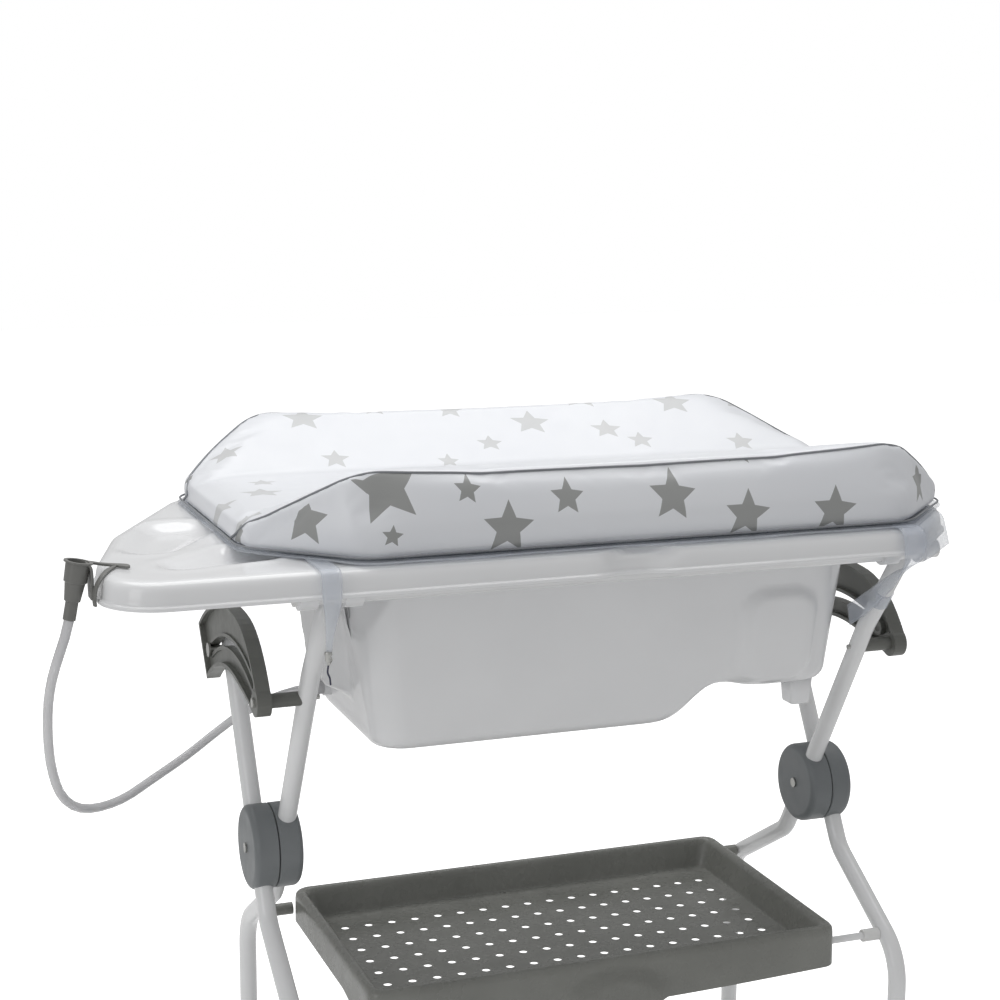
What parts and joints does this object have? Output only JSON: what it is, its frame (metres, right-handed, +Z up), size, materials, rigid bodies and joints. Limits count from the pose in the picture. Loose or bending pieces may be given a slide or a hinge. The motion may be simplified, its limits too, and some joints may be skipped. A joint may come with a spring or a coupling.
{
  "type": "changing table",
  "caption": "Baby bath with a star print changing mat on a white folding tube stand with grey hubs, arc guides and a perforated storage tray.",
  "frame": {"origin": "middle of the object's length and width, on the floor; the free hose and its nozzle are not counted", "axes": "+Z up, +X along the length towards the square end of the bath, +Y from front to back"},
  "size_m": [0.9837, 0.531, 0.9899],
  "materials": {
    "white_tube": "white gloss powder coat on steel tube",
    "white_cap": "white moulded end cap",
    "rubber": "dark grey soft rubber",
    "hub_grey": "slate grey moulded plastic, fine satin grain",
    "guide_grey": "dark warm grey moulded plastic",
    "steel": "zinc plated steel",
    "tub_white": "white glossy moulded plastic",
    "clear_vinyl": "clear bluish vinyl sheet",
    "hose_clear": "translucent pvc hose",
    "sleeve_grey": "light grey soft plastic",
    "nozzle_grey": "mid grey moulded plastic",
    "board": "hardboard inside the mat",
    "mat_cover": "white padded pvc cover with grey star print",
    "tray_grey": "dark grey moulded plastic"
  },
  "bodies": {
    "frame_a": {"frame_a_left_tube": "white_tube", "frame_a_right_tube": "white_tube", "frame_a_top_bar": "white_tube", "frame_a_top_caps": "white_cap", "frame_a_foot_bar": "white_tube", "frame_a_feet": "rubber", "hub_inner_left": "hub_grey", "hub_inner_right": "hub_grey", "pivot_bolts": "steel", "pivot_washers": "steel", "arc_guide_left": "guide_grey", "arc_guide_right": "guide_grey", "guide_spacers": "guide_grey", "guide_screws": "steel", "strap_loops": "clear_vinyl", "strap_snaps": "steel"},
    "frame_b": {"frame_b_left_tube": "white_tube", "frame_b_right_tube": "white_tube", "frame_b_top_stubs": "white_tube", "frame_b_top_caps": "white_cap", "frame_b_foot_bar": "white_tube", "frame_b_feet": "rubber", "hub_outer_left": "hub_grey", "hub_outer_right": "hub_grey", "slot_pins": "steel", "tray_rod": "white_tube", "rod_sleeves": "white_cap"},
    "tub": {"tub": "tub_white", "hinge_brackets": "tub_white", "rear_saddles": "tub_white", "rear_strap_tabs": "clear_vinyl", "drain_spigot": "tub_white", "hose_sleeve": "sleeve_grey", "drain_hose": "hose_clear", "hose_nozzle": "nozzle_grey", "nose_clip": "nozzle_grey", "drain_seat": "steel"},
    "plug": {"drain_plug": "nozzle_grey"},
    "mat": {"mat_board": "board", "mat_base_pad": "mat_cover", "bolster_front": "mat_cover", "bolster_rear": "mat_cover", "mat_flange": "clear_vinyl", "mat_strap_left": "clear_vinyl", "mat_strap_right": "clear_vinyl"},
    "tray": {"tray": "tray_grey", "tray_pegs": "tray_grey"}
  },
  "joints": [
    {"name": "tub_tilt", "type": "hinge", "parent": "frame_a", "child": "tub", "pos_m": [0.0845, -0.202, 0.866], "axis": [1, 0, 0], "range_deg": [0, 86]},
    {"name": "leg_fold", "type": "hinge", "parent": "frame_a", "child": "frame_b", "pos_m": [0.0845, 0, 0.547], "axis": [1, 0, 0], "range_deg": [0, 33.1]},
    {"name": "tray_flip", "type": "hinge", "parent": "frame_a", "child": "tray", "pos_m": [0.0845, 0.149, 0.4115], "axis": [1, 0, 0], "range_deg": [-68, 0]},
    {"name": "mat_flip", "type": "hinge", "parent": "tub", "child": "mat", "pos_m": [0.0845, 0.254, 0.9025], "axis": [1, 0, 0], "range_deg": [-90, 0]},
    {"name": "plug_pull", "type": "slide", "parent": "tub", "child": "plug", "axis": [0, 0, 1], "range_m": [0, 0.06]}
  ],
  "couplings": [
    {"joint": "leg_fold", "follows": "tub_tilt", "ratio": 0.384},
    {"joint": "tray_flip", "follows": "tub_tilt", "ratio": -0.79}
  ]
}
